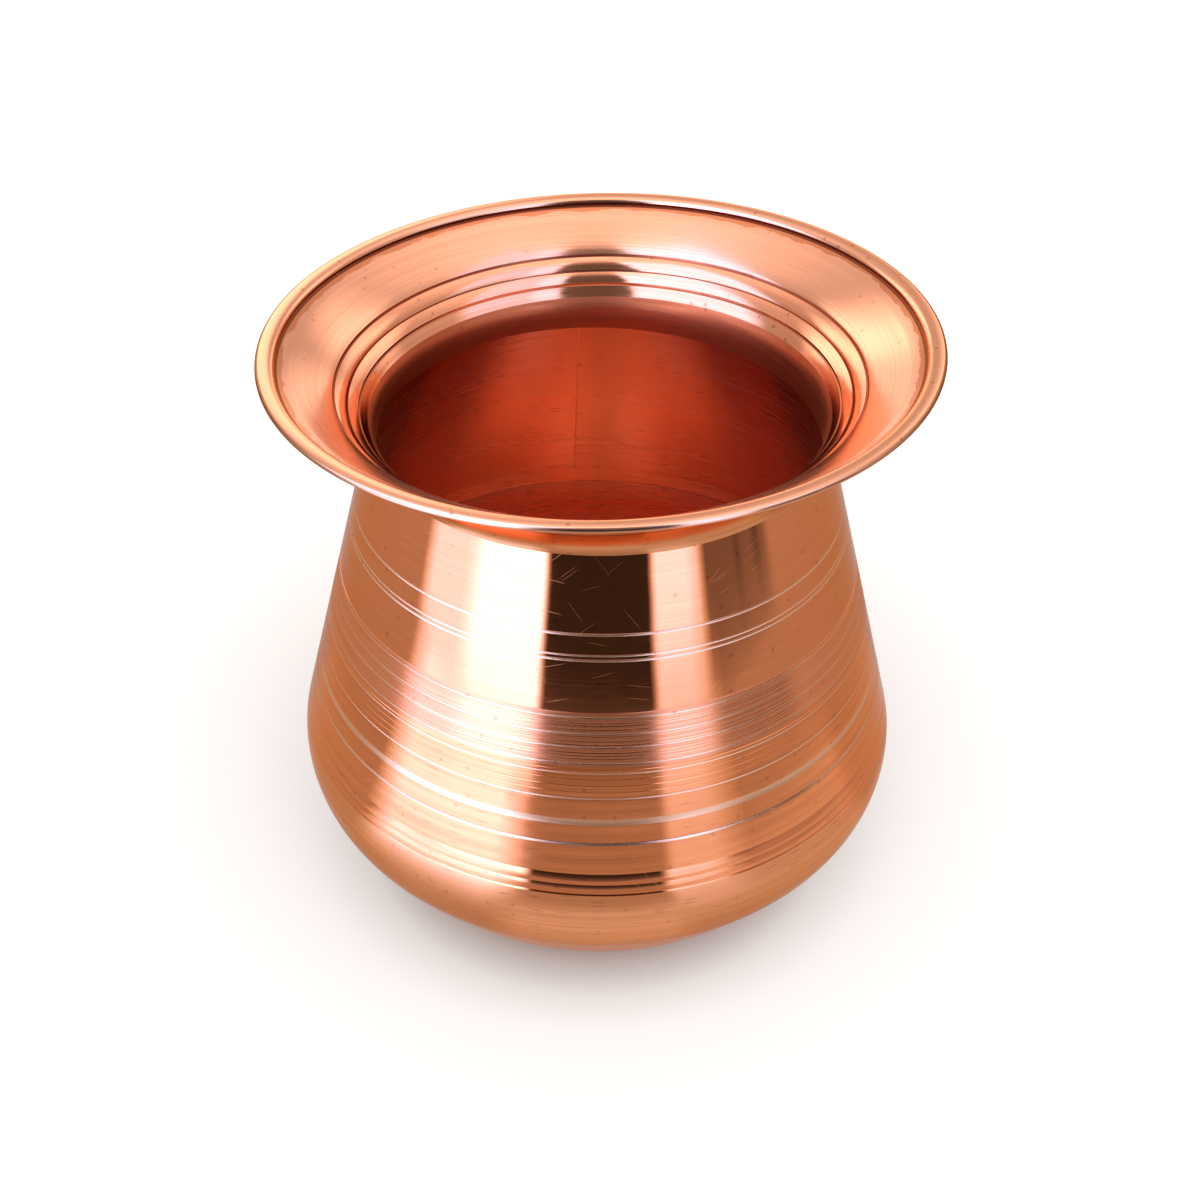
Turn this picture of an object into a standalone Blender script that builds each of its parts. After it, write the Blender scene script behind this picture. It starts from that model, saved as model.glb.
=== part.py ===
"""A copper lota: a raised bowl, a rolled wall and a flared mouth, lapped and brazed together."""
from math import atan2, ceil, cos, hypot, pi, radians, sin, tan

import bmesh
import bpy

# Driving sizes in metres. Heights start at the flat underside.
HEIGHT = 0.1186                # to the top of the folded rim
RIM_DIAMETER = 0.120           # over the folded rim
NECK_DIAMETER = 0.0833         # outside of the wall at its top edge
COLLAR_RISE = 0.0181           # from the top edge of the wall to the top of the rim
BELLY_APEX_DIAMETER = 0.1206   # where the lines of wall and bowl would cross without rounding
BELLY_APEX_HEIGHT = 0.0293
BELLY_ROUNDING = 0.0193
FOOT_APEX_DIAMETER = 0.0759    # where the line of the bowl would meet the table without rounding
FOOT_ROUNDING = 0.0380
JOINT_RISE = 0.0194            # from that crossing up to the lower edge of the wall
LAP = 0.0050                   # height of the bowl's lip inside the wall
SKIRT = 0.0025                 # depth of the mouth's skirt inside the wall

# The mouth, measured on its underside.
NECK_STAND = 0.00095           # from the top edge of the wall up to the bend into the throat
THROAT_LENGTH = 0.0126
THROAT_ANGLE = radians(50)     # slope of the throat above the horizontal
NECK_BEND = 0.0018             # rounding between skirt and throat
FUNNEL_BEND = 0.0045           # rounding between throat and funnel
RIM_BEND = 0.0100              # rounding between funnel and rim
RIM_SHELF = 0.0049             # width of the flatter rim
RIM_SLOPE = radians(20)        # slope of the rim above the horizontal
HEM_WIDTH = 0.0031             # width of the edge that is folded over the rim and hammered flat

# Sheets and fits.
WALL_SHEET = 0.0008
BOWL_SHEET = 0.0008
COLLAR_SHEET = 0.0007
FIT = 0.0003                   # clearance between pieces that meet
SEAM_WIDTH = 0.0016            # upright slit in the wall at its top edge
SEAM_ANGLE = radians(96)       # where the seam stands, turned from +X towards +Y
NECK_BRAZE_FACE = 0.0016       # how far the braze climbs the throat
BASE_BRAZE_HEIGHT = 0.0014

# Lines turned into the sheet, each placed as a share of the run that carries it.
LINE_DEPTH = 0.0002
LINE_WIDTH = 0.0007
WALL_LINES = (0.262, 0.342, 0.529, 0.726, 0.923)
THROAT_LINES = (0.407, 0.630, 0.910)

# Facets.
AROUND = 48                    # steps in a full turn
ROUND_STEP = radians(12)       # largest step in a rounded corner
FOLD_STEPS = 10
SHARP_EDGE = radians(19)       # edges that bend more than this are shaded sharp
MERGE = 1e-6                   # points closer than this are one point

COPPER = (0.80, 0.36, 0.20)
BRAZE = (0.72, 0.42, 0.20)
POLISHED = 0.25                # roughness of the sheet
AS_BRAZED = 0.35               # roughness of the joints


def meet(start, end, other_start, other_end):
    """The point where two straight lines cross."""
    dr, dz = end[0] - start[0], end[1] - start[1]
    er, ez = other_end[0] - other_start[0], other_end[1] - other_start[1]
    share = ((other_start[0] - start[0]) * ez - (other_start[1] - start[1]) * er) / (dr * ez - dz * er)
    return start[0] + share * dr, start[1] + share * dz


def shifted(start, end, distance):
    """A line moved sideways, to the right of its direction."""
    dr, dz = end[0] - start[0], end[1] - start[1]
    scale = distance / hypot(dr, dz)
    offset = dz * scale, -dr * scale
    return (start[0] + offset[0], start[1] + offset[1]), (end[0] + offset[0], end[1] + offset[1])


def inset(path, distance):
    """A path moved sideways, to the right of its direction, with its corners kept sharp."""
    sides = [shifted(start, end, distance) for start, end in zip(path, path[1:])]
    corners = [meet(*before, *after) for before, after in zip(sides, sides[1:])]
    return [sides[0][0]] + corners + [sides[-1][1]]


def rounded(path, radii):
    """A path with an arc of the given radius at each inner corner."""
    points = [path[0]]
    for before, corner, after, radius in zip(path, path[1:], path[2:], radii):
        heading_in = atan2(corner[1] - before[1], corner[0] - before[0])
        heading_out = atan2(after[1] - corner[1], after[0] - corner[0])
        turn = (heading_out - heading_in + pi) % (2 * pi) - pi
        side = 1 if turn > 0 else -1
        reach = radius * tan(abs(turn) / 2)
        begin = corner[0] - reach * cos(heading_in), corner[1] - reach * sin(heading_in)
        centre = begin[0] - side * radius * sin(heading_in), begin[1] + side * radius * cos(heading_in)
        points += arc(centre, radius, heading_in - side * pi / 2, turn, ceil(abs(turn) / ROUND_STEP))
    return points + [path[-1]]


def arc(centre, radius, begin, turn, steps):
    """Points along an arc, both ends included."""
    angles = [begin + turn * step / steps for step in range(steps + 1)]
    return [(centre[0] + radius * cos(angle), centre[1] + radius * sin(angle)) for angle in angles]


def scored(start, end, lines):
    """The points of V-shaped lines cut into a straight run, to the right of its direction."""
    length = hypot(end[0] - start[0], end[1] - start[1])
    along = (end[0] - start[0]) / length, (end[1] - start[1]) / length
    inward = along[1], -along[0]
    points = []
    for share in lines:
        for distance, sink in ((-LINE_WIDTH / 2, 0), (0, LINE_DEPTH), (LINE_WIDTH / 2, 0)):
            place = share * length + distance
            points.append((start[0] + along[0] * place + inward[0] * sink,
                           start[1] + along[1] * place + inward[1] * sink))
    return points


def material(name, colour, roughness):
    """A metal finish for one piece."""
    finish = bpy.data.materials.new(name)
    finish.use_nodes = True
    shader = finish.node_tree.nodes["Principled BSDF"]
    shader.inputs["Base Color"].default_value = (*colour, 1)
    shader.inputs["Metallic"].default_value = 1
    shader.inputs["Roughness"].default_value = roughness
    return finish


def turned(name, outline, finish, begin=SEAM_ANGLE, sweep=2 * pi, steps=AROUND):
    """One piece turned from its outline: a closed loop, or a run from the axis back to the axis."""
    bm = bmesh.new()
    verts = [bm.verts.new((r * cos(begin), r * sin(begin), z)) for r, z in outline]
    pairs = list(zip(verts, verts[1:]))
    if outline[0][0] > 0:
        pairs.append((verts[-1], verts[0]))
    edges = [bm.edges.new(pair) for pair in pairs]
    full = sweep == 2 * pi
    bmesh.ops.spin(bm, geom=verts + edges, cent=(0, 0, 0), axis=(0, 0, 1), angle=sweep, steps=steps,
                   use_merge=full)
    bmesh.ops.remove_doubles(bm, verts=bm.verts, dist=MERGE)
    if not full:
        bmesh.ops.holes_fill(bm, edges=[edge for edge in bm.edges if edge.is_boundary], sides=0)
    bmesh.ops.triangulate(bm, faces=bm.faces)
    bmesh.ops.recalc_face_normals(bm, faces=bm.faces)
    mesh = bpy.data.meshes.new(name)
    bm.to_mesh(mesh)
    bm.free()
    mesh.shade_smooth()
    mesh.set_sharp_from_angle(angle=SHARP_EDGE)
    mesh.materials.append(finish)
    piece = bpy.data.objects.new(name, mesh)
    bpy.context.collection.objects.link(piece)
    return piece


for leftover in list(bpy.data.objects):
    bpy.data.objects.remove(leftover, do_unlink=True)

# The cone that the wall, the lips and the skirt all follow.
wall_top = HEIGHT - COLLAR_RISE
belly_apex = BELLY_APEX_DIAMETER / 2, BELLY_APEX_HEIGHT
foot_apex = FOOT_APEX_DIAMETER / 2, 0
neck_edge = NECK_DIAMETER / 2, wall_top
joint = BELLY_APEX_HEIGHT + JOINT_RISE
cone_slope = (belly_apex[0] - neck_edge[0]) / (wall_top - belly_apex[1])
level = hypot(1, cone_slope)   # a thickness square to the cone, measured level, is this much wider


def cone_radius(height, depth=0):
    """Radius of the cone at a height, or of a surface that lies deeper by a thickness."""
    return neck_edge[0] + cone_slope * (wall_top - height) - depth * level


def on_cone(height, depth=0):
    """A point of the cone's outline."""
    return cone_radius(height, depth), height


# Wall: a rolled cone with an upright slit at its seam.
wall_outline = [neck_edge] + scored(neck_edge, on_cone(joint), WALL_LINES)
wall_outline += [on_cone(joint), on_cone(joint, WALL_SHEET), on_cone(wall_top, WALL_SHEET)]
slit = SEAM_WIDTH / neck_edge[0]
wall_finish = material("wall_copper", COPPER, POLISHED)
turned("body_wall", wall_outline, wall_finish, SEAM_ANGLE + slit / 2, 2 * pi - slit)

# Braze strip in the slit, clear of the wall's two edges.
strip = slit - 2 * FIT / cone_radius(wall_top, WALL_SHEET)
seam_finish = material("seam_braze", BRAZE, AS_BRAZED)
turned("side_seam_braze", wall_outline, seam_finish, SEAM_ANGLE - strip / 2, strip, steps=1)

# Bowl: its lip laps the inside of the wall, and its shoulder carries the wall's lower edge.
lip_depth = WALL_SHEET + FIT
lip_top = joint + LAP
shoulder = joint - FIT
outer_corners = [on_cone(shoulder), belly_apex, foot_apex, (0, 0)]
inner_corners = inset(outer_corners, BOWL_SHEET)
joggle_top = shoulder - BOWL_SHEET
joggle_foot = joggle_top - lip_depth * level
inner_corners[0] = on_cone(joggle_foot, BOWL_SHEET)
inner_bends = BELLY_ROUNDING - BOWL_SHEET, FOOT_ROUNDING - BOWL_SHEET
bowl_outside = rounded(outer_corners, (BELLY_ROUNDING, FOOT_ROUNDING))
bowl_inside = rounded(inner_corners, inner_bends)
bowl_lip = [on_cone(joggle_top, lip_depth + BOWL_SHEET), on_cone(lip_top, lip_depth + BOWL_SHEET),
            on_cone(lip_top, lip_depth), on_cone(shoulder, lip_depth)]
bowl_outline = bowl_inside[::-1] + bowl_lip + bowl_outside
turned("base_bowl", bowl_outline, material("bowl_copper", COPPER, POLISHED))

# Braze fillet between the top of that lip and the wall.
fillet_foot = lip_top + FIT
base_fillet = [on_cone(fillet_foot, lip_depth), on_cone(fillet_foot + BASE_BRAZE_HEIGHT, lip_depth),
               on_cone(fillet_foot, lip_depth + BOWL_SHEET)]
turned("base_braze", base_fillet, material("base_braze", BRAZE, AS_BRAZED))

# Mouth: skirt, throat, funnel and folded edge, drawn on the underside and then on the upper side.
skirt_foot = on_cone(wall_top - SKIRT, WALL_SHEET + FIT)
neck_corner = on_cone(wall_top + NECK_STAND, WALL_SHEET + FIT)
throat_top = (neck_corner[0] + THROAT_LENGTH * cos(THROAT_ANGLE),
              neck_corner[1] + THROAT_LENGTH * sin(THROAT_ANGLE))
fold = RIM_DIAMETER / 2 - COLLAR_SHEET, HEIGHT - COLLAR_SHEET
fold_edge = arc(fold, COLLAR_SHEET, RIM_SLOPE - pi / 2, pi, FOLD_STEPS)
rim_bend = fold_edge[0][0] - RIM_SHELF * cos(RIM_SLOPE), fold_edge[0][1] - RIM_SHELF * sin(RIM_SLOPE)
flap = (HEM_WIDTH - COLLAR_SHEET) * cos(RIM_SLOPE), (HEM_WIDTH - COLLAR_SHEET) * sin(RIM_SLOPE)
flap_foot = fold[0] - flap[0], fold[1] - flap[1]
flap_top = fold_edge[-1][0] - flap[0], fold_edge[-1][1] - flap[1]

underside = [skirt_foot, neck_corner, throat_top, rim_bend, fold_edge[0]]
upper = inset(underside, -COLLAR_SHEET)
upper[-1] = flap_foot
under_path = rounded(underside, (NECK_BEND, FUNNEL_BEND, RIM_BEND))
upper_path = rounded(upper[:3], (NECK_BEND + COLLAR_SHEET,))[:-1]
upper_path += scored(upper[1], upper[2], THROAT_LINES)
upper_path += rounded(upper[1:], (FUNNEL_BEND + COLLAR_SHEET, RIM_BEND + COLLAR_SHEET))[1:]
collar_outline = upper_path + [flap_top] + fold_edge[::-1] + under_path[-2::-1]
turned("mouth_collar", collar_outline, material("collar_copper", COPPER, POLISHED))

# Braze between the wall's top edge and the underside of the throat.
ring_foot = wall_top + FIT
ring_back = cone_radius(wall_top, WALL_SHEET)
under_throat = shifted(neck_corner, throat_top, FIT)
ring_crest = meet((ring_back, 0), (ring_back, 1), *under_throat)
ring_lip = (ring_crest[0] + NECK_BRAZE_FACE * cos(THROAT_ANGLE),
            ring_crest[1] + NECK_BRAZE_FACE * sin(THROAT_ANGLE))
ring_outline = [(ring_back, ring_foot), (neck_edge[0], ring_foot), ring_lip, ring_crest]
turned("neck_braze", ring_outline, material("neck_braze", BRAZE, AS_BRAZED))
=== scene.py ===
from math import atan, atan2, cos, degrees, hypot, pi, radians, sin, tan

import bmesh
import bpy
from mathutils import Matrix, Vector


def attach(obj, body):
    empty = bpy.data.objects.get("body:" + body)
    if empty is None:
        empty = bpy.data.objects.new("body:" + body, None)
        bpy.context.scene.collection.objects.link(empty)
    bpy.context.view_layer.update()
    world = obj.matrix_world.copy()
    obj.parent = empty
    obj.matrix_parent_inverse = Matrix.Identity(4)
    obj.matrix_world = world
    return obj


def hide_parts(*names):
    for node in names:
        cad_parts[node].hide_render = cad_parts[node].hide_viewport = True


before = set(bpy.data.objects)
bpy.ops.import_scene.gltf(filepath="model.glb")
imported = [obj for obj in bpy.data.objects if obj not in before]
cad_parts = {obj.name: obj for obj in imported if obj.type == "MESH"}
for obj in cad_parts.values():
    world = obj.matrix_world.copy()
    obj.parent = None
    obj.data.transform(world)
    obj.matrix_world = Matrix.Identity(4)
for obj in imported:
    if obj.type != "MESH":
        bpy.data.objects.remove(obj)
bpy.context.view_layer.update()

# Body wall: one copper sheet rolled into a cone and closed at an upright seam.
# Its outside was polished on a lathe, with lines cut into it and one band left with its tool marks.
# The bowl's lip stands inside its lower edge and the mouth's skirt inside its upper edge.
MM = 0.001
SAME_PLACE = 1e-6            # points closer than this, in metres, are one
AROUND = 320                 # steps in a full turn
CREASE = radians(24)         # a bend sharper than this shows as an edge
WALL_TOP = 100.5             # heights, radii and depths of the outlines are in millimetres
WALL_FOOT = 48.7
NECK_RADIUS = 41.65
WALL_SPREAD = 0.2619         # radius gained for each millimetre down the wall
WALL_SLANT = round(hypot(1, WALL_SPREAD), 3)
WALL_SHEET = 0.8
BAND_TOP = 73.1              # the band that kept its tool marks
BAND_FOOT = 63.1
MARK_STEP = 0.68
CUT_GUARD = 0.04             # how close beside a cut the flat metal begins
JOINT_RISE = 0.16            # how the sharp lower edge of the wall is taken off
JOINT_DEPTH = 0.14
SEAM_BEARING = radians(96)
SEAM_SLIT = 0.22
SEAM_RADIUS = 47             # the radius at which the slit has that width
BODY_LEAN = tan(radians(0.55))
FULL_LEAN = 40               # the height at which the body leans in full
MOUTH_LEAN = tan(radians(1.31))
NECK_FOOT = 97               # the neck takes up the change from one lean to the other
NECK_HEIGHT = 9
BRIGHT_COPPER = (0.90, 0.28, 0.115)
LINED_COPPER = (0.89, 0.29, 0.13)
SATIN_COPPER = (0.90, 0.275, 0.105)
CUT_COPPER = (0.86, 0.42, 0.24)
RED_COPPER = (0.94, 0.395, 0.195)
# painted shade inside the top of the wall, under the collar
SHADED_COPPER = (0.52, 0.155, 0.08)
DARK_COPPER = (0.30, 0.07, 0.025)
COPPER_GLANCE = (1.0, 0.72, 0.54)
LINE_SHADE = (0.72, 0.62, 0.55)     # what a tool line leaves of each part of the colour
SCRATCH_DEPTH = 0.0012
SCRATCH_BLUR = 0.3


def arc(centre, radius, begin, end, steps):
    """Points of an outline along an arc, with its angles in degrees above the level."""
    turns = [radians(begin + (end - begin) * step / steps) for step in range(steps + 1)]
    return [(centre[0] + radius * cos(turn), centre[1] + radius * sin(turn)) for turn in turns]


def hand_lean(height):
    """How much a hand-raised pot leans at a height: the body falls to its right, and the mouth rises."""
    body = -BODY_LEAN * min(height / FULL_LEAN, 1)
    share = min(max((height - NECK_FOOT) / NECK_HEIGHT, 0), 1)
    return body + (MOUTH_LEAN - body) * share * share * (3 - 2 * share)


def placed(name, bm):
    """A new object in the scene, made from a finished bmesh."""
    mesh = bpy.data.meshes.new(name)
    bm.to_mesh(mesh)
    bm.free()
    made = bpy.data.objects.new(name, mesh)
    bpy.context.scene.collection.objects.link(made)
    return made


def turn(name, runs, finishes, begin=0.0, sweep=2 * pi, steps=AROUND):
    """Spins the runs of an outline, each a finish and its points, about the pot's axis into one piece."""
    names = list(finishes)
    full = sweep == 2 * pi
    bm = bmesh.new()
    kept_finish = bm.verts.layers.int.new("finish")
    outline = []
    for finish, points in runs:
        verts = [bm.verts.new((r * MM * cos(begin), r * MM * sin(begin), z * MM)) for r, z in points]
        for vert in verts:
            vert[kept_finish] = names.index(finish)
        outline += verts + [bm.edges.new(pair) for pair in zip(verts, verts[1:])]
    bmesh.ops.spin(bm, geom=outline, cent=(0, 0, 0), axis=(0, 0, 1), angle=sweep, steps=steps, use_merge=full)
    for face in bm.faces:
        face.material_index = face.verts[0][kept_finish]
    bm.verts.layers.int.remove(kept_finish)
    bmesh.ops.remove_doubles(bm, verts=bm.verts, dist=SAME_PLACE)
    if not full:
        bmesh.ops.holes_fill(bm, edges=[edge for edge in bm.edges if edge.is_boundary], sides=0)
    bmesh.ops.recalc_face_normals(bm, faces=bm.faces)
    for vert in bm.verts:
        vert.co.z += vert.co.x * hand_lean(vert.co.z / MM)
    piece = placed(name, bm)
    piece.data.shade_smooth()
    piece.data.set_sharp_from_angle(angle=CREASE)
    for finish in names:
        piece.data.materials.append(finishes[finish])
    return piece


def feed(tree, value, socket):
    """Gives a socket a colour or a number, or links another socket to it."""
    if isinstance(value, tuple):
        socket.default_value = (*value, 1)
    elif isinstance(value, (int, float)):
        socket.default_value = value
    else:
        tree.links.new(value, socket)


def reckon(tree, kind, first, second):
    """A math node on two values, each a socket or a number."""
    node = tree.nodes.new("ShaderNodeMath")
    node.operation = kind
    feed(tree, first, node.inputs[0])
    feed(tree, second, node.inputs[1])
    return node.outputs[0]


def plus(tree, first, second):
    return reckon(tree, "ADD", first, second)


def minus(tree, first, second):
    return reckon(tree, "SUBTRACT", first, second)


def times(tree, first, second):
    return reckon(tree, "MULTIPLY", first, second)


def larger(tree, first, second):
    return reckon(tree, "MAXIMUM", first, second)


def spread(tree, value, low, high):
    """A value stretched so that low becomes 0 and high becomes 1, and kept between them."""
    node = tree.nodes.new("ShaderNodeMapRange")
    node.inputs["From Min"].default_value = low
    node.inputs["From Max"].default_value = high
    feed(tree, value, node.inputs["Value"])
    return node.outputs["Result"]


def object_place(tree):
    """Object coordinates, whole and as x, y and z."""
    place = tree.nodes.new("ShaderNodeTexCoord").outputs["Object"]
    split = tree.nodes.new("ShaderNodeSeparateXYZ")
    feed(tree, place, split.inputs[0])
    return place, split.outputs


def joined(tree, x, y, z):
    """A place made of three values, each a socket or a number."""
    node = tree.nodes.new("ShaderNodeCombineXYZ")
    for socket, value in zip(node.inputs, (x, y, z)):
        feed(tree, value, socket)
    return node.outputs[0]


def lathe_place(tree):
    """Object coordinates as a lathe sees them: the place, its x and y, its distance from the axis,
    the way round to it in metres on a ring of one size, and about how far along the outline it lies."""
    place, (x, y, z) = object_place(tree)
    radius = reckon(tree, "SQRT", plus(tree, times(tree, x, x), times(tree, y, y)), 0)
    bearing = reckon(tree, "ARCTAN2", x, times(tree, y, -1.0))
    ring_radius = 0.05
    return place, x, y, radius, times(tree, bearing, ring_radius), plus(tree, radius, z)


def noise(tree, place, scale, detail):
    """A cloudy pattern, from 0 to 1."""
    node = tree.nodes.new("ShaderNodeTexNoise")
    node.inputs["Scale"].default_value = scale
    node.inputs["Detail"].default_value = detail
    feed(tree, place, node.inputs["Vector"])
    return node.outputs["Fac"]


def effect(name, inputs, outputs):
    """An empty node group with named values going in and out."""
    tree = bpy.data.node_groups.new(name, "ShaderNodeTree")
    for label, value in inputs.items():
        tree.interface.new_socket(label, in_out="INPUT", socket_type="NodeSocketFloat").default_value = value
    for label in outputs:
        tree.interface.new_socket(label, in_out="OUTPUT", socket_type="NodeSocketFloat")
    return tree, tree.nodes.new("NodeGroupInput").outputs, tree.nodes.new("NodeGroupOutput").inputs


# Lines that a lathe tool leaves round the pot, fine or coarse, each running part of the way round,
# and the slow waves that hand polishing leaves.
tool_lines, given, out = effect("tool lines", {"Lines": 2500.0, "Run": 30.0}, ("Height", "Tone", "Wave"))
place, x, y, _, _, way_along = lathe_place(tool_lines)
stretched = joined(tool_lines, times(tool_lines, x, given["Run"]), times(tool_lines, y, given["Run"]),
                   times(tool_lines, way_along, given["Lines"]))
lined = noise(tool_lines, stretched, scale=1.0, detail=3.0)
feed(tool_lines, lined, out["Height"])
feed(tool_lines, spread(tool_lines, lined, 0.36, 0.66), out["Tone"])
feed(tool_lines, noise(tool_lines, place, scale=75.0, detail=1.5), out["Wave"])

# Marks of use: straight hairline scratches, small round pits, short dark ticks that follow the turning,
# and the distance from the axis in millimetres with a ragged edge to it.
HAIR_LENGTH = 90             # how many times longer than wide a scratch is
TICK_LENGTH = 11.0
RAGGED = 2.6
use_marks, given, out = effect("use marks", {"Scratch": 120.0, "Pit": 400.0, "Tick": 210.0},
                               ("Scratches", "Pits", "Ticks", "Reach"))
place, _, _, radius, way_round, way_along = lathe_place(use_marks)


def dots(where, scale, size, share, flat=False):
    """Soft dots at a share of the cells of a random pattern."""
    node = use_marks.nodes.new("ShaderNodeTexVoronoi")
    node.voronoi_dimensions = "2D" if flat else "3D"
    feed(use_marks, where, node.inputs["Vector"])
    feed(use_marks, scale, node.inputs["Scale"])
    outside = spread(use_marks, node.outputs["Distance"], size * 0.5, size)
    channels = use_marks.nodes.new("ShaderNodeSeparateColor")
    feed(use_marks, node.outputs["Color"], channels.inputs[0])
    chosen = reckon(use_marks, "LESS_THAN", channels.outputs[0], share)
    return times(use_marks, minus(use_marks, 1.0, outside), chosen)


def hairlines(lean, share):
    """Short straight scratches that lean from the way round by some degrees."""
    level, steep = cos(radians(lean)), sin(radians(lean))
    along = plus(use_marks, times(use_marks, way_round, level), times(use_marks, way_along, steep))
    across = minus(use_marks, times(use_marks, way_along, level * HAIR_LENGTH),
                   times(use_marks, way_round, steep * HAIR_LENGTH))
    return dots(joined(use_marks, along, across, 0.0), given["Scratch"], 0.34, share, flat=True)


scratches = hairlines(11, 0.008)
for lean, share in ((-7, 0.008), (27, 0.005), (-41, 0.003)):
    scratches = larger(use_marks, scratches, hairlines(lean, share))
feed(use_marks, scratches, out["Scratches"])
feed(use_marks, dots(place, given["Pit"], 0.20, 0.25), out["Pits"])
tick_place = joined(use_marks, way_round, times(use_marks, way_along, TICK_LENGTH), 0.0)
feed(use_marks, dots(tick_place, given["Tick"], 0.30, 0.09, flat=True), out["Ticks"])
ragged = times(use_marks, minus(use_marks, noise(use_marks, place, scale=190.0, detail=3.0), 0.5), RAGGED)
feed(use_marks, plus(use_marks, reckon(use_marks, "DIVIDE", radius, MM), ragged), out["Reach"])


def copper(name, colour, roughness, lines, run, dent, tone=0.2, grain=0.1, scratched=0.5, pitted=0.5,
           ticked=0.0, smear=0.85, wavy=0.0, cloudy=0.0, dull=None, fade=None, glancing=COPPER_GLANCE):
    """A turned copper finish: its colour, how its tool lines stand up, darken and roughen it, how worn it is,
    how far its shine smears along the lines, how wavy and cloudy it is, its duller colour beyond a radius,
    another colour that it fades to along an axis, which paints shade or light onto it, and its tint at a
    glancing view."""
    finish = bpy.data.materials.new(name)
    finish.use_nodes = True
    tree = finish.node_tree
    shader = tree.nodes["Principled BSDF"]
    shader.inputs["Metallic"].default_value = 1.0
    feed(tree, glancing, shader.inputs["Specular Tint"])
    shader.inputs["Anisotropic"].default_value = smear
    shader.inputs["Anisotropic Rotation"].default_value = 0.25
    around = tree.nodes.new("ShaderNodeTangent")
    around.direction_type = "RADIAL"
    around.axis = "Z"
    feed(tree, around.outputs[0], shader.inputs["Tangent"])
    tool = tree.nodes.new("ShaderNodeGroup")
    tool.node_tree = tool_lines
    tool.inputs["Lines"].default_value = lines
    tool.inputs["Run"].default_value = run
    worn = tree.nodes.new("ShaderNodeGroup")
    worn.node_tree = use_marks

    def mixed(first, second, factor):
        node = tree.nodes.new("ShaderNodeMix")
        node.data_type = "RGBA"
        feed(tree, first, node.inputs["A"])
        feed(tree, second, node.inputs["B"])
        feed(tree, factor, node.inputs["Factor"])
        return node.outputs["Result"]

    darker = tuple(part * left for part, left in zip(colour, LINE_SHADE))
    shade = mixed(colour, darker, times(tree, tool.outputs["Tone"], tone))
    if dull:
        edge, dull_colour = dull
        shade = mixed(shade, dull_colour, spread(tree, worn.outputs["Reach"], edge - 0.06, edge + 0.06))
    # a colour faded in along an axis: painted shade or painted light
    if fade:
        axis, begin, end, faded = fade
        _, axes = object_place(tree)
        shade = mixed(shade, faded, spread(tree, axes[axis], begin, end))
    marks = larger(tree, times(tree, worn.outputs["Pits"], pitted),
                   times(tree, worn.outputs["Ticks"], ticked))
    feed(tree, mixed(shade, DARK_COPPER, marks), shader.inputs["Base Color"])
    rough = plus(tree, times(tree, tool.outputs["Tone"], grain), roughness)
    if cloudy:
        rough = plus(tree, rough, times(tree, spread(tree, tool.outputs["Wave"], 0.42, 0.68), cloudy))
    rough = plus(tree, rough, times(tree, worn.outputs["Scratches"], SCRATCH_BLUR * scratched))
    feed(tree, rough, shader.inputs["Roughness"])
    bump = tree.nodes.new("ShaderNodeBump")
    bump.inputs["Distance"].default_value = MM
    raised = plus(tree, times(tree, tool.outputs["Height"], dent), times(tree, tool.outputs["Wave"], wavy))
    scored = minus(tree, raised, times(tree, worn.outputs["Scratches"], SCRATCH_DEPTH * scratched))
    feed(tree, scored, bump.inputs["Height"])
    feed(tree, bump.outputs[0], shader.inputs["Normal"])
    return finish


def wall_point(height, depth=0.0):
    """A point of the wall's outline, or of one that lies deeper in the sheet."""
    return NECK_RADIUS + WALL_SPREAD * (WALL_TOP - height) - depth * WALL_SLANT, height


def flat_wall(top, foot, finish, guard=CUT_GUARD):
    """A run of the wall's outside with no line in it. Points close to its ends keep its shading flat."""
    return finish, [wall_point(top), wall_point(top - guard), wall_point(foot + guard), wall_point(foot)]


def scored_wall(top, foot, finish, cuts):
    """Runs of the wall's outside from one height down to another, with flat-bottomed lines cut into it.
    Each cut is a height, a width and a depth. The tool left it bare, or it was polished over."""
    runs, edge = [], top
    for height, width, depth, bare in cuts:
        upper, lower = height + width / 2, height - width / 2
        runs.append(flat_wall(edge, upper, finish, min(CUT_GUARD, (edge - upper) / 3)))
        runs.append(("cut" if bare else finish,
                     [wall_point(upper), wall_point(height + width / 4, depth),
                      wall_point(height - width / 4, depth), wall_point(lower)]))
        edge = lower
    return runs + [flat_wall(edge, foot, finish)]


cut_copper = copper("cut copper", CUT_COPPER, roughness=0.22, lines=4000, run=60, dent=0.004, tone=0.3,
                    smear=0.3)
# The inside is painted darker towards the top of the wall, under the collar: painted shade.
inner_copper = copper("inner copper", RED_COPPER, roughness=0.20, lines=1500, run=25, dent=0.003, tone=0.16,
                      grain=0.08, scratched=0.12, pitted=0.2, ticked=0.5, smear=0.7,
                      fade=("Z", 0.076, 0.100, SHADED_COPPER))
wall_finishes = {
    "bright": copper("bright wall copper", BRIGHT_COPPER, roughness=0.035, lines=3000, run=25, dent=0.0012,
                     tone=0.22, grain=0.04, scratched=1.0, pitted=0.35, wavy=0.035, cloudy=0.04),
    "lined": copper("lined wall copper", LINED_COPPER, roughness=0.20, lines=3500, run=12, dent=0.010,
                    tone=0.4, grain=0.10, pitted=0.3, wavy=0.03),
    "satin": copper("satin wall copper", SATIN_COPPER, roughness=0.08, lines=2000, run=10, dent=0.007,
                    tone=0.4, grain=0.08, scratched=0.9, pitted=0.3, ticked=0.25, wavy=0.03, cloudy=0.05),
    "cut": cut_copper,
    "inner": inner_copper,
}
upper_lines = ((86.9, 0.50, 0.07, True), (83.25, 0.36, 0.06, True), (82.38, 0.46, 0.07, True))
band_lines = [(73.0, 0.18, 0.06, False)]
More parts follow.
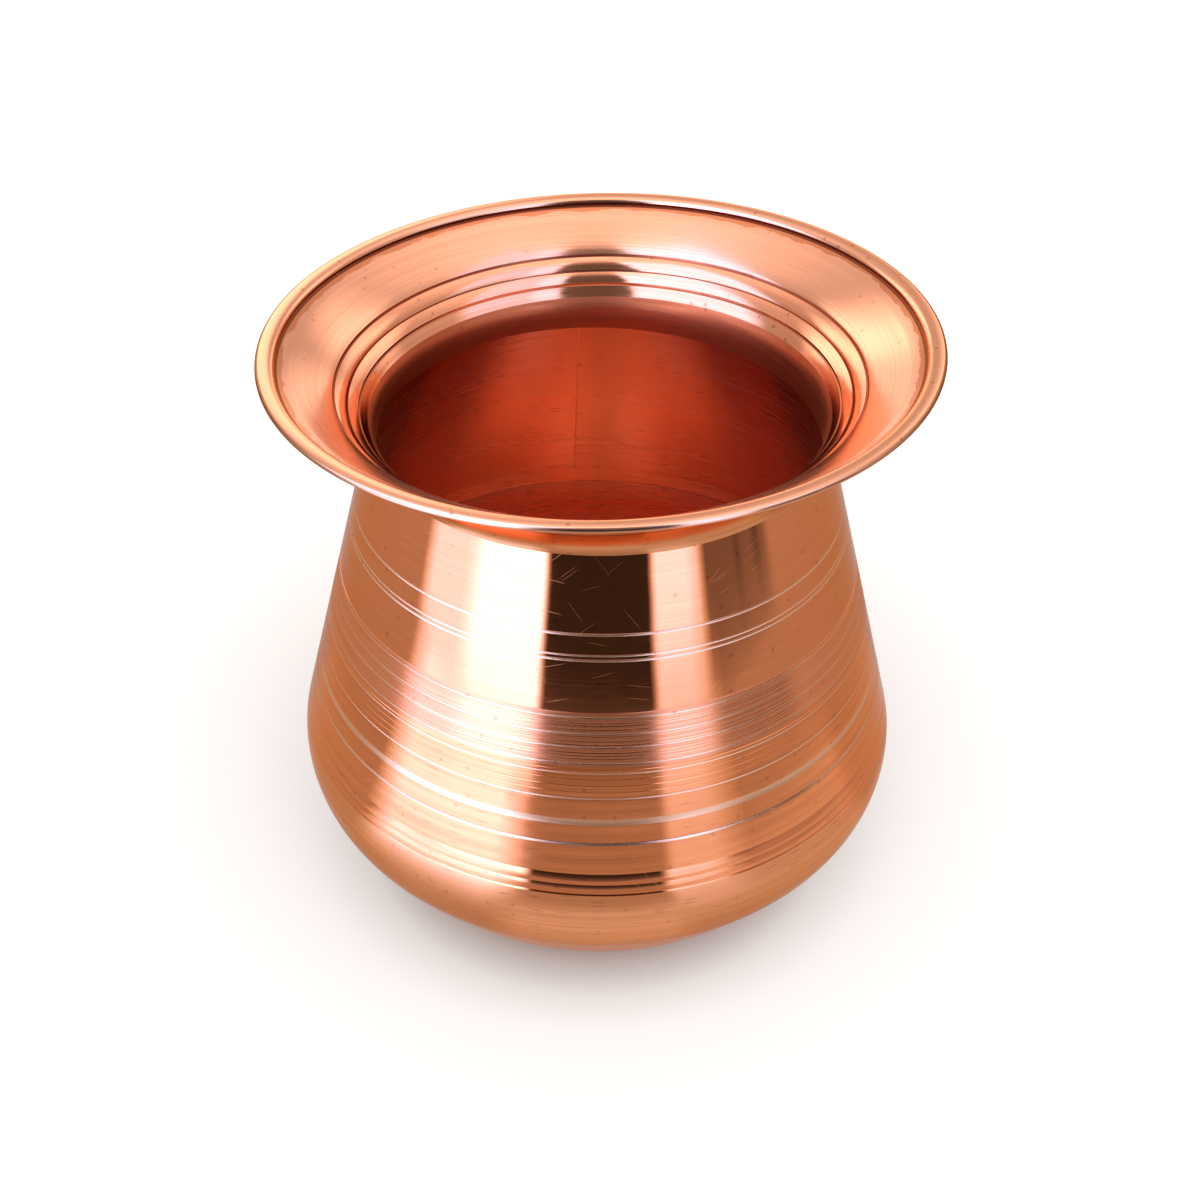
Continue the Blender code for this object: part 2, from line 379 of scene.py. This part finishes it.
for mark in range(1, 14):
    band_lines.append((72.75 - MARK_STEP * mark + 0.16 * sin(2.3 * mark), 0.26, 0.03, mark % 4 == 1))
lower_lines = ((62.65, 0.25, 0.05, False), (61.95, 0.22, 0.04, True), (60.9, 0.20, 0.03, False),
               (59.7, 0.28, 0.04, False), (58.5, 0.20, 0.03, False), (57.25, 0.28, 0.05, True),
               (52.75, 1.15, 0.02, True))
wall_runs = scored_wall(WALL_TOP, BAND_TOP, "bright", upper_lines)
wall_runs += scored_wall(BAND_TOP, BAND_FOOT, "lined", band_lines)
wall_runs += scored_wall(BAND_FOOT, WALL_FOOT + JOINT_RISE, "satin", lower_lines)
wall_runs += [("cut", [wall_point(WALL_FOOT + JOINT_RISE), wall_point(WALL_FOOT, JOINT_DEPTH)]),
              ("inner", [wall_point(WALL_FOOT, JOINT_DEPTH), wall_point(WALL_FOOT, WALL_SHEET),
                         wall_point(WALL_TOP, WALL_SHEET), wall_point(WALL_TOP)])]
slit = SEAM_SLIT / SEAM_RADIUS
wall = turn("rolled_wall", wall_runs, wall_finishes, SEAM_BEARING + slit / 2, 2 * pi - slit)
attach(wall, "root")
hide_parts("body_wall")

# Seam braze: a thin upright line of braze that closes the rolled wall.
# It was filed down level with the sheet, inside and outside.
SEAM_SHARE = 0.88            # how much of the slit it fills
SEAM_INSET = 0.02            # how far it lies below the wall's outside
BRAZE_COLOUR = (0.86, 0.33, 0.15)
braze = copper("seam braze", BRAZE_COLOUR, roughness=0.28, lines=900, run=400, dent=0.008, tone=0.3,
               pitted=0.6, smear=0.0)
seam_runs = [("braze", [wall_point(WALL_TOP, SEAM_INSET), wall_point(WALL_FOOT, SEAM_INSET),
                        wall_point(WALL_FOOT, WALL_SHEET), wall_point(WALL_TOP, WALL_SHEET),
                        wall_point(WALL_TOP, SEAM_INSET)])]
strip = slit * SEAM_SHARE
seam = turn("seam_braze_line", seam_runs, {"braze": braze}, SEAM_BEARING - strip / 2, strip, 2)
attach(seam, "root")
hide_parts("side_seam_braze")

# Bowl: a disc of copper raised into the belly and the flat base, then polished on the lathe.
# Its edge is joggled in, so that a lip stands inside the wall and a shoulder carries the wall's edge.
BELLY = (60.3, 29.3)         # where the lines of wall and bowl would cross
BELLY_ROUNDING = 19.3
BELLY_STEPS = 18
FOOT = (37.95, 0.0)          # where the line of the bowl would meet the table
FOOT_ROUNDING = 38.0
FOOT_STEPS = 14
BOWL_SHEET = 0.8
LIP_TOP = 53.7
LIP_DEPTH = 0.95
LIP_SHEET = 0.35
LIP_BEND_TOP = 47.9          # where the lip bends out to the bowl's own thickness
LIP_BEND_FOOT = 46.4
SHOULDER = WALL_FOOT - 0.05
SHOULDER_RISE = 0.32
LEDGE_RISE = 0.12
BOWL_COPPER = (0.86, 0.295, 0.125)
INNER_BOWL_COPPER = (0.82, 0.36, 0.195)
wall_slope = 90 - degrees(atan(WALL_SPREAD))
bowl_slope = degrees(atan((BELLY[1] - FOOT[1]) / (BELLY[0] - FOOT[0])))


def rounded_corner(corner, radius, steep, shallow, steps):
    """An arc that rounds a corner of the bowl's outside, from a steeper line above to a flatter one below."""
    half = radians(abs(steep - shallow)) / 2
    middle = radians((steep + shallow) / 2 + 90)
    centre = (corner[0] + radius / cos(half) * cos(middle), corner[1] + radius / cos(half) * sin(middle))
    return arc(centre, radius, steep - 90, shallow - 90, steps), centre


belly_arc, belly_centre = rounded_corner(BELLY, BELLY_ROUNDING, 180 - wall_slope, bowl_slope, BELLY_STEPS)
foot_arc, foot_centre = rounded_corner(FOOT, FOOT_ROUNDING, bowl_slope, 0, FOOT_STEPS)
belly_inside = arc(belly_centre, BELLY_ROUNDING - BOWL_SHEET, 90 - wall_slope, bowl_slope - 90, BELLY_STEPS)
foot_inside = arc(foot_centre, FOOT_ROUNDING - BOWL_SHEET, bowl_slope - 90, -90, FOOT_STEPS)
bowl_finishes = {
    "satin": wall_finishes["satin"],
    "bright": wall_finishes["bright"],
    "bowl": copper("bowl copper", BOWL_COPPER, roughness=0.11, lines=1500, run=10, dent=0.009, tone=0.45,
                   grain=0.10, pitted=0.3, ticked=0.4, cloudy=0.05),
    "cut": cut_copper,
    "inner": copper("inner bowl copper", INNER_BOWL_COPPER, roughness=0.24, lines=1500, run=25, dent=0.003,
                    tone=0.3, scratched=0.12, pitted=0.2, ticked=0.5, smear=0.7),
}
lip_inside = LIP_DEPTH + LIP_SHEET
bowl_runs = [("inner", [wall_point(SHOULDER, LIP_DEPTH), wall_point(LIP_TOP, LIP_DEPTH),
                        wall_point(LIP_TOP, lip_inside), wall_point(LIP_BEND_TOP, lip_inside),
                        wall_point(LIP_BEND_FOOT, BOWL_SHEET)]
              + belly_inside + foot_inside + [(0, BOWL_SHEET)]),
             ("inner", [wall_point(SHOULDER, LIP_DEPTH), wall_point(SHOULDER, JOINT_DEPTH)]),
             ("cut", [wall_point(SHOULDER, JOINT_DEPTH), wall_point(SHOULDER - SHOULDER_RISE)])]
# Three shallow ledges above the belly: where each begins, how deep it cuts, and where it runs out.
edge = SHOULDER - SHOULDER_RISE
for ledge, deep, foot in ((42.75, 0.20, 41.25), (40.65, 0.12, 39.65), (38.95, 0.06, 38.5)):
    bowl_runs += [flat_wall(edge, ledge, "satin"),
                  ("satin", [wall_point(ledge), wall_point(ledge - LEDGE_RISE, deep)]),
                  ("bright", [wall_point(ledge - LEDGE_RISE, deep), wall_point(foot)])]
    edge = foot
bowl_runs += [("satin", [wall_point(edge), belly_arc[0]]), ("bowl", belly_arc + foot_arc + [(0, 0)])]
bowl = turn("raised_bowl", bowl_runs, bowl_finishes)
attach(bowl, "root")
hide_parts("base_bowl")

# Braze fillet: a ring of braze inside the pot, run in where the top of the bowl's lip meets the wall,
# and smoothed down until it hardly shows.
FILLET_FOOT = LIP_TOP + 0.1
fillet = [wall_point(FILLET_FOOT, LIP_DEPTH - 0.1), wall_point(LIP_TOP + 3.6, LIP_DEPTH - 0.13),
          wall_point(LIP_TOP + 2.2, LIP_DEPTH + 0.01), wall_point(LIP_TOP + 1.0, LIP_DEPTH + 0.16),
          wall_point(FILLET_FOOT, LIP_DEPTH + 0.33)]
bowl_braze = turn("bowl_lip_braze", [("inner", fillet + fillet[:1])], {"inner": inner_copper})
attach(bowl_braze, "root")
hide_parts("base_braze")

# Mouth: a spun collar with a skirt inside the neck, three turned bands in the throat and a wide funnel.
# Its edge is folded over inwards and hammered flat. Its upper side is brushed round, and was left dull
# in the corner beside the fold.
SKIRT_FOOT = (41.15, 98.15)
SKIRT_EDGE = (40.42, 98.1)
THROAT_FOOT = (41.50, 104.45)
FIRST_GROOVE = [(42.72, 106.22), (42.98, 106.36)]
SECOND_GROOVE = [(44.66, 108.28), (44.80, 108.24), (44.86, 108.52)]
THIRD_GROOVE = [(46.88, 110.42), (47.02, 110.34), (47.16, 110.40), (47.3, 110.86)]
FUNNEL_TOP = (54.1, 115.82)
CORNER = [(56.25, 116.78), (56.72, 116.95), (56.82, 117.02), (56.74, 117.52)]
RIM_EDGE = arc((59.35, 117.84), 0.62, 84, -76, 8)
FLARE_FOOT = (44.2, 106.2)
DULL_RADIUS = 55.45
FUNNEL_COPPER = (0.73, 0.305, 0.165)
THROAT_COPPER = (0.75, 0.285, 0.145)
SKIRT_COPPER = (0.46, 0.11, 0.04)
GROOVE_COPPER = (0.36, 0.10, 0.045)
DULL_COPPER = (0.55, 0.17, 0.07)
# painted shade in the crease right under the fold
FOLD_SHADE_COPPER = (0.20, 0.045, 0.018)
# painted shade on the rim's outer edge; at the front it fades to the funnel's colour as a painted highlight
RIM_EDGE_SHADE_COPPER = (0.22, 0.07, 0.03)
UNDER_COPPER = (0.74, 0.50, 0.34)
PALE_GLANCE = (1.0, 0.86, 0.74)


def bow(begin, pull, end, steps):
    """Points of an outline along a smooth bow between two ends, which a third point pulls to itself."""
    shares = [step / steps for step in range(steps + 1)]
    return [tuple((1 - share) ** 2 * a + 2 * share * (1 - share) * b + share ** 2 * c
                  for a, b, c in zip(begin, pull, end)) for share in shares]


brushed = dict(roughness=0.14, lines=2400, run=8, dent=0.006, tone=0.3, grain=0.08, scratched=0.6, pitted=0.3,
               glancing=PALE_GLANCE)
collar_finishes = {
    "inner": copper("skirt copper", SKIRT_COPPER, roughness=0.36, lines=700, run=60, dent=0.05, tone=0.7,
                    pitted=1.0, ticked=0.5, smear=0.3),
    "throat": copper("throat copper", THROAT_COPPER, roughness=0.08, lines=2200, run=9, dent=0.010, tone=0.35,
                     grain=0.08, pitted=0.5, glancing=PALE_GLANCE),
    "groove": copper("groove copper", GROOVE_COPPER, roughness=0.25, lines=2600, run=30, dent=0.004, tone=0.5,
                     smear=0.2),
    # The crease under the fold is painted near black as its shade.
    "fold_shade": copper("tarnished copper", FOLD_SHADE_COPPER, roughness=0.30, lines=2600, run=60, dent=0.004,
                        tone=0.4, smear=0.2),
    "funnel": copper("funnel copper", FUNNEL_COPPER, **brushed),
    "dull": copper("dull edge copper", FUNNEL_COPPER, dull=(DULL_RADIUS, DULL_COPPER), **brushed),
    "fold": copper("folded edge copper", FUNNEL_COPPER, roughness=0.13, lines=2600, run=20, dent=0.002,
                   tone=0.12, grain=0.05, smear=0.4, wavy=0.01),
    # The rim's outer edge is painted dark as shade at the back and sides, and lighter at the front, a painted
    # highlight.
    "edge": copper("rim edge painted shade copper", RIM_EDGE_SHADE_COPPER, roughness=0.16, lines=1500, run=60, dent=0.003, tone=0.4,
                   smear=0.2, fade=("Y", -0.020, -0.045, FUNNEL_COPPER)),
    "under": copper("flare underside copper", UNDER_COPPER, roughness=0.12, lines=2600, run=16, dent=0.003,
                    tone=0.3, glancing=PALE_GLANCE),
}
collar_runs = [
    ("inner", [SKIRT_FOOT] + bow(SKIRT_EDGE, (39.87, 102.58), THROAT_FOOT, 7)),
    ("throat", bow(THROAT_FOOT, (42.14, 105.5), FIRST_GROOVE[0], 3)),
    ("groove", FIRST_GROOVE),
    ("throat", FIRST_GROOVE[-1:] + bow((43.08, 106.72), (43.79, 107.6), SECOND_GROOVE[0], 4)),
    ("groove", SECOND_GROOVE),
    ("throat", bow(SECOND_GROOVE[-1], (45.71, 109.83), THIRD_GROOVE[0], 5)),
    ("groove", THIRD_GROOVE),
    ("funnel", bow(THIRD_GROOVE[-1], (48.67, 112.58), FUNNEL_TOP, 10)),
    ("dull", bow(FUNNEL_TOP, (54.94, 116.28), CORNER[0], 4)),
    ("fold_shade", CORNER),
    ("fold", bow(CORNER[-1], (56.95, 118.62), RIM_EDGE[0], 10)),
    ("edge", RIM_EDGE),
    ("under", bow(RIM_EDGE[-1], (50.38, 114.38), FLARE_FOOT, 14)
     + bow(FLARE_FOOT, (40.6, 102.37), (40.98, 100.2), 7)[1:] + [SKIRT_FOOT]),
]
collar = turn("flared_collar", collar_runs, collar_finishes)
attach(collar, "root")
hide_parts("mouth_collar")

# Neck braze: a ring of braze that fills the corner where the flare springs from the top edge of the wall.
# It was filed to a smooth cove and polished with the wall.
COVE_TOP = (44.2, 106.14)
NECK_COPPER = (0.75, 0.265, 0.105)
neck_copper = copper("neck copper", NECK_COPPER, roughness=0.12, lines=2600, run=16, dent=0.004, tone=0.5)
cove = bow(wall_point(WALL_TOP - 0.02, -0.01), (41.65, 102.68), COVE_TOP, 8)
cove_back = bow(COVE_TOP, (40.99, 102.91), (40.95, 100.52), 6)
neck = turn("neck_braze_cove", [("neck", cove + cove_back[1:] + cove[:1])], {"neck": neck_copper})
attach(neck, "root")
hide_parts("neck_braze")

# Stage: a pale matt table top that the pot stands on, and an even, pale room round it.
# The table glows more away from the pot, which paints a shadow round its foot, and both show paler than the
# light that they give.
TABLE_WIDTH = 3.0
TABLE_LENGTH = 1.9
TABLE_BACK = 0.55            # how far its middle lies behind the pot
TABLE_COLOUR = (0.90, 0.895, 0.89)
# warm, as painted copper-coloured bounce light in the shadow round the pot
TABLE_BOUNCE_GLOW = (1, 0.88, 0.82)
ROOM_LIGHT = 0.32


def seen(tree):
    """1 for a ray that shows a thing, straight, mirrored or through glass, and 0 for one that lights it."""
    ray = tree.nodes.new("ShaderNodeLightPath").outputs
    return larger(tree, larger(tree, ray["Is Camera Ray"], ray["Is Glossy Ray"]), ray["Is Transmission Ray"])


bm = bmesh.new()
bmesh.ops.create_grid(bm, x_segments=1, y_segments=1, size=0.5,
                      matrix=Matrix.Diagonal((TABLE_WIDTH, TABLE_LENGTH, 1, 1)))
bmesh.ops.translate(bm, verts=bm.verts, vec=(0, TABLE_BACK, 0))
floor = placed("table_top", bm)
paint = bpy.data.materials.new("table paint")
paint.use_nodes = True
tree = paint.node_tree
shader = tree.nodes["Principled BSDF"]
feed(tree, TABLE_COLOUR, shader.inputs["Base Color"])
shader.inputs["Roughness"].default_value = 0.9
shader.inputs["Specular IOR Level"].default_value = 0.0
feed(tree, TABLE_BOUNCE_GLOW, shader.inputs["Emission Color"])
away = tree.nodes.new("ShaderNodeVectorMath")
away.operation = "LENGTH"
feed(tree, tree.nodes.new("ShaderNodeTexCoord").outputs["Object"], away.inputs[0])
# The glow is weakest close to the pot: a painted shadow round its foot, on top of the real one.
painted_shadow_edge = times(tree, spread(tree, away.outputs["Value"], 0.036, 0.048), 0.30)
painted_shadow_fade = times(tree, spread(tree, away.outputs["Value"], 0.048, 0.26), 0.50)
glow = plus(tree, plus(tree, painted_shadow_edge, painted_shadow_fade), 0.10)
feed(tree, times(tree, seen(tree), glow), shader.inputs["Emission Strength"])
floor.data.materials.append(paint)

world = bpy.data.worlds.new("pale room")
bpy.context.scene.world = world
world.use_nodes = True
tree = world.node_tree
background = tree.nodes["Background"]
feed(tree, (1, 1, 1), background.inputs["Color"])
feed(tree, plus(tree, times(tree, seen(tree), 1 - ROOM_LIGHT), ROOM_LIGHT), background.inputs["Strength"])

# Studio light: one soft box overhead, a little towards the camera, which gives the table its shadow.
# The copper mirrors the tent below instead of it.
BOX_SIDE = 1.1
BOX_BRIGHTNESS = 2.3
top = bpy.data.lights.new("top_box", "AREA")
top.shape = "RECTANGLE"
top.size = BOX_SIDE
top.size_y = BOX_SIDE
top.energy = BOX_BRIGHTNESS * pi * top.size * top.size_y
top_holder = bpy.data.objects.new("top_box", top)
bpy.context.scene.collection.objects.link(top_holder)
top_holder.location = (0.05, -0.60, 1.00)
top_holder.rotation_euler = (radians(31), 0, 0)
top_holder.visible_glossy = False

# Light tent: cloth on the table, round the pot and over it, which only the copper mirrors.
# White screens hang left and right of the camera, a black flag stands behind it, and the rest is plain cloth.
# In front, the brighter the cloth the cooler its white.
TENT_RADIUS = 0.345
TENT_WALL = 0.80
TENT_CROWN = 0.92
TENT_STEPS = 360
# Plain cloth: the way along it from the pot, in metres, and its light there.
PLAIN_CLOTH = ((0.0, 0.50), (0.34, 0.56), (0.47, 0.64), (0.60, 0.80), (0.75, 1.00), (0.93, 1.50),
               (1.15, 1.80), (1.30, 2.00), (1.50, 1.90))
# Panels: two bearings from the camera and how soft their edges are, two ways along the cloth and how soft
# theirs are, and the light.
PANELS = (
    (-118, 125, 10, 0.06, 0.15, 0.03, 0.64),        # brighter cloth round the pot
    (23, 85, 8, 0.075, 0.175, 0.04, 0.85),
    (-172, -124, 12, 0.50, 0.68, 0.12, 3.2),        # three windows in the back
    (122, 157, 12, 0.56, 0.76, 0.12, 2.2),
    (158, 202, 10, 0.44, 0.58, 0.08, 1.8),
    (-70, -26, 10, 0.13, 0.35, 0.10, 3.3),          # left screen, which lies on the table and then hangs
    (-90, -15, 12, 0.53, 1.28, 0.10, 3.5),
    (-74, -52, 6, 0.34, 0.54, 0.02, 2.6),
    (-52, -15, 8, 0.34, 0.64, 0.04, 4.8),
    (15, 42, 12, 0.10, 0.26, 0.04, 1.25),           # right screen
    (15, 42, 12, 0.27, 0.35, 0.05, 1.9),
    (15, 42, 12, 0.36, 1.28, 0.05, 2.8),
    (42, 80, 8, 0.62, 1.30, 0.20, 2.1),             # dim gap with two dark stands, and a pale panel above it
    (43, 76, 4, 0.35, 0.54, 0.04, 0.22),
    (68.5, 72, 2, 0.37, 0.52, 0.04, 0.04),
    (58.5, 61.5, 2, 0.37, 0.52, 0.04, 0.12),
    (-21.1, 22, 3, 0.115, 0.325, 0.03, 0.52),       # black flag and the grey cloth before it
    (-21.1, 22, 3, 0.32, 0.36, 0.03, 0.26),
    (-21.1, 22, 3, 0.35, 0.70, 0.02, 0.04),
    (-21.1, 22, 3, 0.70, 1.29, 0.10, 0.20),
    (-23, 23, 8, 0.055, 0.11, 0.02, 0.94))


def inside(value, begin, end, edge):
    """How far a value lies between two soft edges, from 0 to 1."""
    return min(max(min(value - begin, end - value) / edge + 0.5, 0), 1)


def cloth_light(bearing, way):
    """The light of the cloth at a bearing from the camera and a way along it from the pot."""
    for (low, dim), (high, bright) in zip(PLAIN_CLOTH, PLAIN_CLOTH[1:]):
        if low <= way <= high:
            light = dim + (bright - dim) * (way - low) / (high - low)
    for left, right, side, near, far, end, shine in PANELS:
        covered = max(inside(bearing, left, right, side), inside(bearing + 360, left, right, side))
        light += (shine - light) * covered * inside(way, near, far, end)
    return light


bm = bmesh.new()
lying = [(0.045 + 0.015 * step, MM) for step in range(21)]
hanging = [(TENT_RADIUS, 0.02 * step) for step in range(1, 41)]
over = [(0.27, 0.84), (0.20, 0.88), (0.10, 0.905), (0, TENT_CROWN)]
verts = [bm.verts.new((0, -r, z)) for r, z in lying + hanging + over]
edges = [bm.edges.new(pair) for pair in zip(verts, verts[1:])]
bmesh.ops.spin(bm, geom=verts + edges, cent=(0, 0, 0), axis=(0, 0, 1), angle=2 * pi, steps=TENT_STEPS,
               use_merge=True)
bmesh.ops.remove_doubles(bm, verts=bm.verts, dist=SAME_PLACE)
tones = bm.verts.layers.float_color.new("tone")
for vert in bm.verts:
    x, y, height = vert.co
    bearing, distance = degrees(atan2(x, -y)), hypot(x, y)
    folded = TENT_RADIUS - distance if height > TENT_WALL + MM else 0
    way = distance if height <= 2 * MM else TENT_RADIUS + min(height, TENT_WALL) + folded
    light = cloth_light(bearing, way)
    front = -100 < bearing < 80 and height < 0.85
    cooler = min(max(light - 0.7, 0) / 1.8, 0.9 if front else 0.1)
    red_left = 1 - 0.25 * min(max(light - 0.5, 0), 1) if front else 1
    vert[tones] = (light * red_left, light, light * (1 + cooler), 1)
tent = placed("light_tent", bm)
cloth = bpy.data.materials.new("tent cloth")
cloth.use_nodes = True
tree = cloth.node_tree
shader = tree.nodes["Principled BSDF"]
feed(tree, (0, 0, 0), shader.inputs["Base Color"])
shader.inputs["Specular IOR Level"].default_value = 0.0
tone = tree.nodes.new("ShaderNodeAttribute")
tone.attribute_name = "tone"
feed(tree, tone.outputs["Color"], shader.inputs["Emission Color"])
bounced = tree.nodes.new("ShaderNodeLightPath").outputs["Diffuse Depth"]
feed(tree, reckon(tree, "LESS_THAN", bounced, 0.5), shader.inputs["Emission Strength"])
tent.data.materials.append(cloth)
tent.visible_camera = False
tent.visible_diffuse = False
tent.visible_shadow = False
tent.visible_transmission = False

# Camera: it stands before the pot and looks down over the rim, where the photograph was taken from.
# Its place, aim, lens and slight roll were fitted to the rim, the turned lines and the outline.
CAMERA_PLACE = (0.0, -0.2720, 0.2648)
PITCH, YAW, ROLL = radians(36.95), 0.00126, radians(0.508)
LENS = 52.39
SENSOR = 36
aim = Vector((sin(YAW) * cos(PITCH), cos(YAW) * cos(PITCH), -sin(PITCH)))
level_right = Vector((cos(YAW), -sin(YAW), 0))
upright = level_right.cross(aim)
right = level_right * cos(ROLL) + upright * sin(ROLL)
up = upright * cos(ROLL) - level_right * sin(ROLL)
camera_data = bpy.data.cameras.new("camera")
camera_data.lens = LENS
camera_data.sensor_width = SENSOR
camera_data.clip_start = 0.01
camera = bpy.data.objects.new("camera", camera_data)
bpy.context.scene.collection.objects.link(camera)
turned = Matrix((right, up, -aim)).transposed().to_4x4()
camera.matrix_world = Matrix.Translation(CAMERA_PLACE) @ turned
bpy.context.scene.camera = camera
bpy.context.scene.view_settings.view_transform = "Standard"
